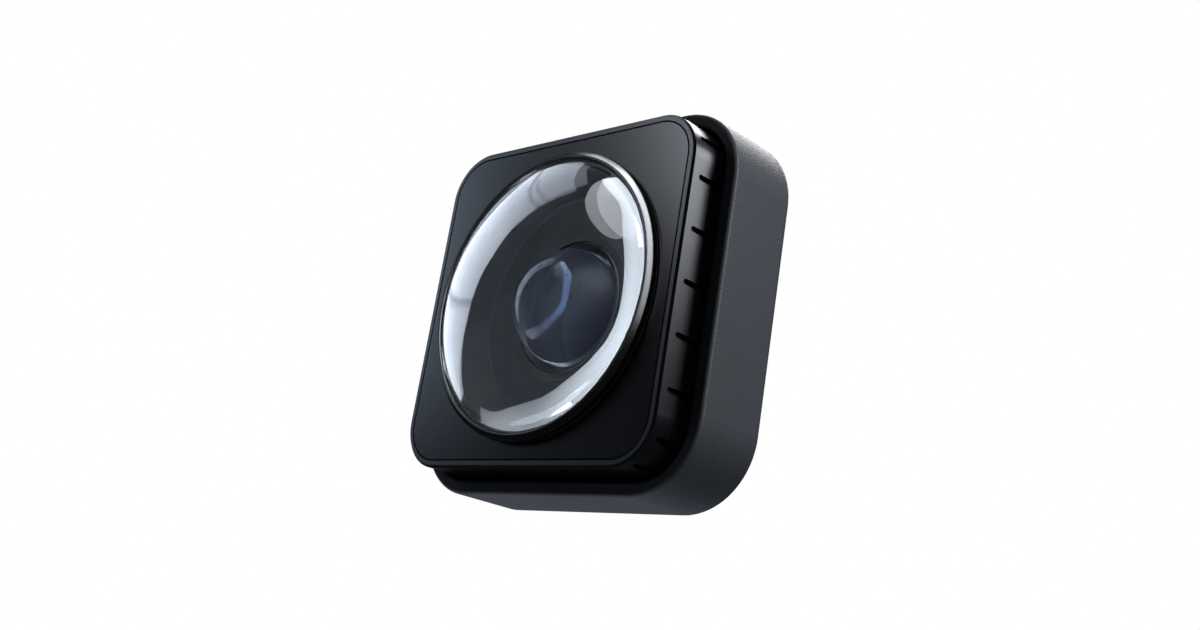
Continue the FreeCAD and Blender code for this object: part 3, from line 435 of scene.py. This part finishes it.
def baffle(materials):
    """Smooth black bowl with a shallow groove round the front lens."""
    wall = [(20.8, 0.45), (18.0, 5.2)]
    floor = [(17.7, 5.2), (17.6, 5.3), (12.2, 5.3), (12.1, 5.2), (10.7, 5.2)]
    back = [(10.7, 6.1), (18.5, 6.1), (21.4, 1.35), (23.1, 1.35), (23.1, 0.45)]
    profile = softened(at_depth(*(wall + floor + back)), 0.12 * MM)
    piece = turned("cone_baffle_piece", profile, closed=True)
    stand_for(piece, "cone_baffle", "lens_block", materials["baffle_black"])


def retaining_ring(materials):
    """Thin sloping ring that holds the front lens."""
    outline = at_depth((9.45, 6.2), (10.3, 5.3), (10.6, 5.45), (10.6, 7.4), (9.45, 7.4))
    profile = softened(outline, 0.08 * MM)
    piece = turned("lens_ring_piece", profile, closed=True)
    stand_for(piece, "lens_ring", "lens_block", materials["ring_metal"])


def front_element(materials):
    """Strongly curved front lens, with a hollow in its back; the back is rough dark glass, painted shade for
    the inside of the barrel seen through the lens.
    """
    low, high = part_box("front_lens")
    radius = (high.x - low.x) / 2
    dome_part = cap_profile(radius, radius, low.y + radius)
    foot = [(radius, high.y - FRONT_BEVEL), (radius - FRONT_BEVEL, high.y), (HOLLOW_RADIUS, high.y)]
    hollow = cap_profile(HOLLOW_RADIUS, HOLLOW_DEPTH, high.y)
    piece = turned("front_lens_piece", dome_part + foot + hollow[::-1][1:], closed=False)
    piece.visible_shadow = False
    stand_for(piece, "front_lens", "lens_block", materials["lens_glass"])
    # Painted shade: the back's dark rough glass darkens the view into the barrel behind the lens
    painted_shade_back = coated_glass("lens_back_painted_shade", (0.024, 0.028, 0.042), rough=(0.45, 0.5),
                           **{"Transmission Weight": 0.35, "Specular IOR Level": 0.1})
    piece.data.materials.append(painted_shade_back)
    for face in piece.data.polygons:
        face.material_index = int(face.normal.y > FACES_BACK)


def inner_element(node, bulge, film, materials):
    """Lens with a curved front, a flat back and a coating."""
    low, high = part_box(node)
    radius = (high.x - low.x) / 2
    profile = cap_profile(radius, bulge, low.y + bulge, steps=16)
    profile += [(radius, high.y - GLASS_BEVEL), (radius - GLASS_BEVEL, high.y), (0.0, high.y)]
    piece = turned(node + "_piece", profile, closed=False)
    piece.visible_shadow = False
    glass = coated_glass(node + "_glass", (0.5, 0.55, 0.62), film)
    stand_for(piece, node, "lens_block", glass)


# ---- stage ------------------------------------------------------------------------------------
def compass(azimuth, elevation):
    """Unit vector: azimuth 0 is straight in front, positive to the right."""
    az = math.radians(azimuth)
    el = math.radians(elevation)
    return Vector((math.sin(az) * math.cos(el), -math.cos(az) * math.cos(el), math.sin(el)))


def softbox(name, azimuth, elevation, distance, size, power, colour=WHITE, shape="RECTANGLE",
            towards=None, only=None):
    """Area light that faces the middle of the camera, its height turned towards a compass direction."""
    light = bpy.data.lights.new(name, "AREA")
    light.shape = shape
    light.size = size[0]
    light.size_y = size[1]
    light.energy = power
    light.color = colour
    lamp = bpy.data.objects.new(name, light)
    outward = compass(azimuth, elevation)
    up = compass(*towards) - outward if towards else UPRIGHT
    across = up.cross(outward).normalized()
    turn = Matrix((across, outward.cross(across), outward)).transposed()
    lamp.matrix_world = Matrix.Translation(MIDDLE + outward * distance) @ turn.to_4x4()
    bpy.context.scene.collection.objects.link(lamp)
    if only:
        lamp.light_linking.receiver_collection = only
    return lamp


def smooth_value(values, t):
    """Value at t, from 0 to 1, on a smooth curve through evenly spaced values."""
    place = t * (len(values) - 1)
    index = min(int(place), len(values) - 2)
    u = place - index
    before = values[max(index - 1, 0)]
    start = values[index]
    end = values[index + 1]
    after = values[min(index + 2, len(values) - 1)]
    slope_in = (end - before) / 2
    slope_out = (after - start) / 2
    lift = 3 * (end - start) - 2 * slope_in - slope_out
    turn = 2 * (start - end) + slope_in + slope_out
    return start + slope_in * u + lift * u ** 2 + turn * u ** 3


def glow_patch(name, rows, across, strength, colour, only, seams=(), distance=GLOW_DISTANCE):
    """Curved soft light seen only in reflections.

    Each row gives the compass directions of its near and far ends and its level, and smooth curves
    join the rows; across gives the levels from near to far, and seams are thin dim lines.
    """
    mesh = bmesh.new()
    glow = mesh.verts.layers.float.new("glow")
    columns = len(across) - 1
    curves = list(zip(*rows))
    strips = []
    for step in range(GLOW_STEPS + 1):
        t = step / GLOW_STEPS
        near_az, near_el, far_az, far_el, row_level = [smooth_value(curve, t) for curve in curves]
        for seam in seams:
            row_level *= 1 - SEAM_DIM * math.exp(-((t - seam) / SEAM_WIDTH) ** 2)
        strip = []
        for column, level in enumerate(across):
            u = column / columns
            toward = compass(near_az + (far_az - near_az) * u, near_el + (far_el - near_el) * u)
            vertex = mesh.verts.new(MIDDLE + toward * distance)
            vertex[glow] = level * row_level
            strip.append(vertex)
        strips.append(strip)
    for first, second in zip(strips, strips[1:]):
        for column in range(columns):
            mesh.faces.new((first[column], second[column], second[column + 1], first[column + 1]))
    patch = finished(name, mesh)
    material = bpy.data.materials.new(name)
    material.use_nodes = True
    tree = material.node_tree
    tree.nodes.clear()
    level = add_node(tree, "Attribute", attribute_name="glow").outputs["Fac"]
    power = add_node(tree, "Math", {0: level, 1: strength}, operation="MULTIPLY").outputs[0]
    light = add_node(tree, "Emission", {"Color": (*colour, 1.0), "Strength": power})
    output = add_node(tree, "OutputMaterial")
    tree.links.new(light.outputs[0], output.inputs["Surface"])
    patch.data.materials.append(material)
    patch.visible_camera = False
    patch.visible_diffuse = False
    patch.visible_shadow = False
    patch.light_linking.receiver_collection = only


def receivers(name, pieces):
    """Collection of the only pieces that a light reaches."""
    collection = bpy.data.collections.new(name)
    for piece in pieces:
        collection.objects.link(piece)
    return collection


def lit_pieces():
    """Collections of the pieces that the linked lights reach."""
    nodes = frame["nodes"]
    made = bpy.data.objects
    dome_piece = made["dome_glass_piece"]
    ring_piece = made["dome_ring_piece"]
    lens_ring = made["lens_ring_piece"]
    front = ("face_panel", "lens_housing")
    return {
        "glass": receivers("glass_pieces", (dome_piece, made["front_lens_piece"], lens_ring)),
        "dome": receivers("dome_pieces", (dome_piece, lens_ring)),
        "ring": receivers("ring_only", (ring_piece,)),
        "faces": receivers("face_pieces", [nodes[name] for name in front] + [ring_piece]),
        "body": receivers("body_pieces", [node for name, node in nodes.items() if name not in front]),
    }


def glows(lit):
    """Soft windows: two that frame the dome, one along the ring and three for the block's face."""
    left = [(-87, -10, -112, -6, 0.9),
            (-77, 0, -126, 4, 1.0),
            (-71, 8, -128, 15, 1.0),
            (-67, 17, -128, 25, 1.0),
            (-63, 28, -126, 34, 1.0),
            (-60, 36, -121, 38, 0.85),
            (-54, 45, -116, 43, 0.75),
            (-43, 55, -108, 61, 0.7)]
    glow_patch("glow_left", left, (0.9, 0.93, 0.93, 1.0, 1.8), strength=2.6, colour=(0.79, 0.87, 1.0),
               only=lit["glass"], seams=(0.32, 0.83))
    right = [(-40, 64, -26, 71, 0.8),
             (0, 56, 23, 54, 1.0),
             (17, 35, 33, 33, 1.0),
             (23, 10, 34, 6, 1.1),
             (19, -12, 28, -22, 1.2),
             (2, -28, -4, -45, 0.8),
             (-27, -36, -45, -48, 0.38),
             (-62, -29, -78, -35, 0.26),
             (-76, -20, -92, -24, 0.1)]
    glow_patch("glow_right", right, (0.7, 1.0, 1.0, 0.9), strength=18.0, colour=(0.80, 0.89, 1.0),
               only=lit["dome"])
    over_ring = [(38, -6, 56, -8, 0.2),
                 (37, 30, 56, 28, 0.7),
                 (20, 60, 50, 62, 1.0),
                 (-60, 68, -10, 86, 0.9),
                 (-106, 48, -112, 62, 0.1)]
    glow_patch("glow_ring", over_ring, (0.3, 1.0, 0.3), strength=34.0, colour=(0.88, 0.93, 1.0),
               only=lit["ring"])
    panel_right = [(-52, 10, -32, 10, 0.0),
                   (-52, 18, -32, 18, 0.08),
                   (-52, 26, -32, 26, 1.0),
                   (-52, 36, -32, 36, 1.0)]
    glow_patch("glow_panel", panel_right, (0.0, 0.01, 0.04, 0.22, 0.75, 1.1), strength=14.0,
               colour=(0.84, 0.90, 1.0), only=lit["faces"])
    panel_left = [(-50, 2, -72, 2, 0.0),
                  (-50, 16, -72, 16, 1.0),
                  (-50, 34, -72, 34, 0.3)]
    glow_patch("glow_panel_left", panel_left, (0.0, 0.25, 0.6, 1.0), strength=10.0,
               colour=(0.66, 0.80, 1.0), only=lit["faces"])
    in_front = [(-22, -20, 26, -20, 0.2),
                (-22, 10, 26, 10, 0.8),
                (-22, 40, 26, 40, 1.0)]
    glow_patch("glow_face", in_front, (0.3, 1.0, 1.0, 0.3), strength=1.3, colour=COOL,
               only=lit["faces"], distance=FAR_GLOW_DISTANCE)


def lamps(lit):
    """Soft lights round the camera: a disc in the dome, a rim light, and fills for each side."""
    disc = softbox("disc_front", -4, 53, distance=0.5, size=(0.16, 0.38), power=0.65,
                   colour=COOL, shape="ELLIPSE", towards=(-47, 64), only=lit["glass"])
    disc.visible_diffuse = False
    softbox("rim_back", -155, 47, distance=0.6, size=(0.4, 0.3), power=3.0,
            colour=(0.97, 0.98, 1.0))
    softbox("block_side", 137, 28, distance=0.6, size=(0.3, 0.2), power=1.35, colour=COOL,
            only=lit["faces"])
    softbox("side_right", 100, 30, distance=0.34, size=(0.16, 0.16), power=1.35, colour=COOL,
            only=lit["body"])
    softbox("side_left", -100, 35, distance=0.5, size=(0.4, 0.4), power=1.5, only=lit["body"])
    softbox("top", 20, 84, distance=0.8, size=(0.6, 0.6), power=0.8)
    under = softbox("under", -100, -52, distance=0.6, size=(0.4, 0.4), power=8.2, colour=COOL,
                    only=lit["body"])
    under.visible_glossy = False


def background():
    """White to the camera, and a dim even light on the object."""
    world = bpy.data.worlds.new("studio")
    bpy.context.scene.world = world
    world.use_nodes = True
    tree = world.node_tree
    tree.nodes.clear()
    seen = add_node(tree, "Background", {"Color": (1.0, 1.0, 1.0, 1.0), "Strength": 1.0})
    lit = add_node(tree, "Background", {"Color": (0.8, 0.88, 1.0, 1.0), "Strength": SURROUND})
    path = add_node(tree, "LightPath")
    mix = add_node(tree, "MixShader", {0: path.outputs["Is Camera Ray"], 1: lit.outputs[0],
                                       2: seen.outputs[0]})
    output = add_node(tree, "OutputWorld")
    tree.links.new(mix.outputs[0], output.inputs["Surface"])


def floor():
    """Plain pale floor that fades out around the camera and is open from below."""
    data = bpy.data.meshes.new("floor")
    far_out = FLOOR_REACH
    low = cad_box[0][2] - FLOOR_DROP
    corners = [(-far_out, -far_out, low), (far_out, -far_out, low), (far_out, far_out, low),
               (-far_out, far_out, low)]
    data.from_pydata(corners, [], [(0, 1, 2, 3)])
    sheet = bpy.data.objects.new("floor", data)
    bpy.context.scene.collection.objects.link(sheet)
    material = bpy.data.materials.new("floor_paper")
    material.use_nodes = True
    tree = material.node_tree
    tree.nodes.clear()
    coords = add_node(tree, "TexCoord").outputs["Object"]
    paper = blend_colours(tree, noise(tree, coords, 30.0), (0.80, 0.80, 0.81), (0.84, 0.84, 0.85))
    top = add_node(tree, "BsdfDiffuse", {"Color": paper})
    open_air = add_node(tree, "BsdfTransparent")
    distance = add_node(tree, "VectorMath", {0: coords}, operation="LENGTH").outputs["Value"]
    far = spread(tree, distance, 0.0, 1.0, start=FLOOR_FADE_START, end=FLOOR_FADE_END)
    below = add_node(tree, "NewGeometry").outputs["Backfacing"]
    shadow = add_node(tree, "LightPath").outputs["Is Shadow Ray"]
    hidden = add_node(tree, "Math", {0: below, 1: shadow}, operation="MAXIMUM").outputs[0]
    is_open = add_node(tree, "Math", {0: hidden, 1: far}, operation="MAXIMUM").outputs[0]
    mix = add_node(tree, "MixShader", {0: is_open, 1: top.outputs[0], 2: open_air.outputs[0]})
    output = add_node(tree, "OutputMaterial")
    tree.links.new(mix.outputs[0], output.inputs["Surface"])
    data.materials.append(material)
    sheet.visible_diffuse = False
    sheet.visible_glossy = False
    sheet.visible_transmission = False


def camera():
    """The photograph's view."""
    lens = bpy.data.cameras.new("view")
    lens.lens = CAMERA_LENS
    lens.sensor_width = 36.0
    lens.clip_start = 0.01
    eye = bpy.data.objects.new("view", lens)
    eye.location = CAMERA_AT
    turn = (LOOK_AT - CAMERA_AT).to_track_quat("-Z", "Y")
    eye.rotation_euler = (turn.to_matrix() @ Matrix.Rotation(CAMERA_ROLL, 3, "Z")).to_euler()
    bpy.context.scene.collection.objects.link(eye)
    bpy.context.scene.camera = eye


def main():
    materials = slot_materials()
    dress_cad_nodes(materials)
    dome(materials)
    ring(materials)
    baffle(materials)
    retaining_ring(materials)
    front_element(materials)
    inner_element("second_lens", SECOND_BULGE, film=95.0, materials=materials)
    inner_element("third_lens", THIRD_BULGE, film=170.0, materials=materials)
    lit = lit_pieces()
    glows(lit)
    lamps(lit)
    background()
    floor()
    camera()
    bpy.context.scene.view_settings.view_transform = "Standard"


main()
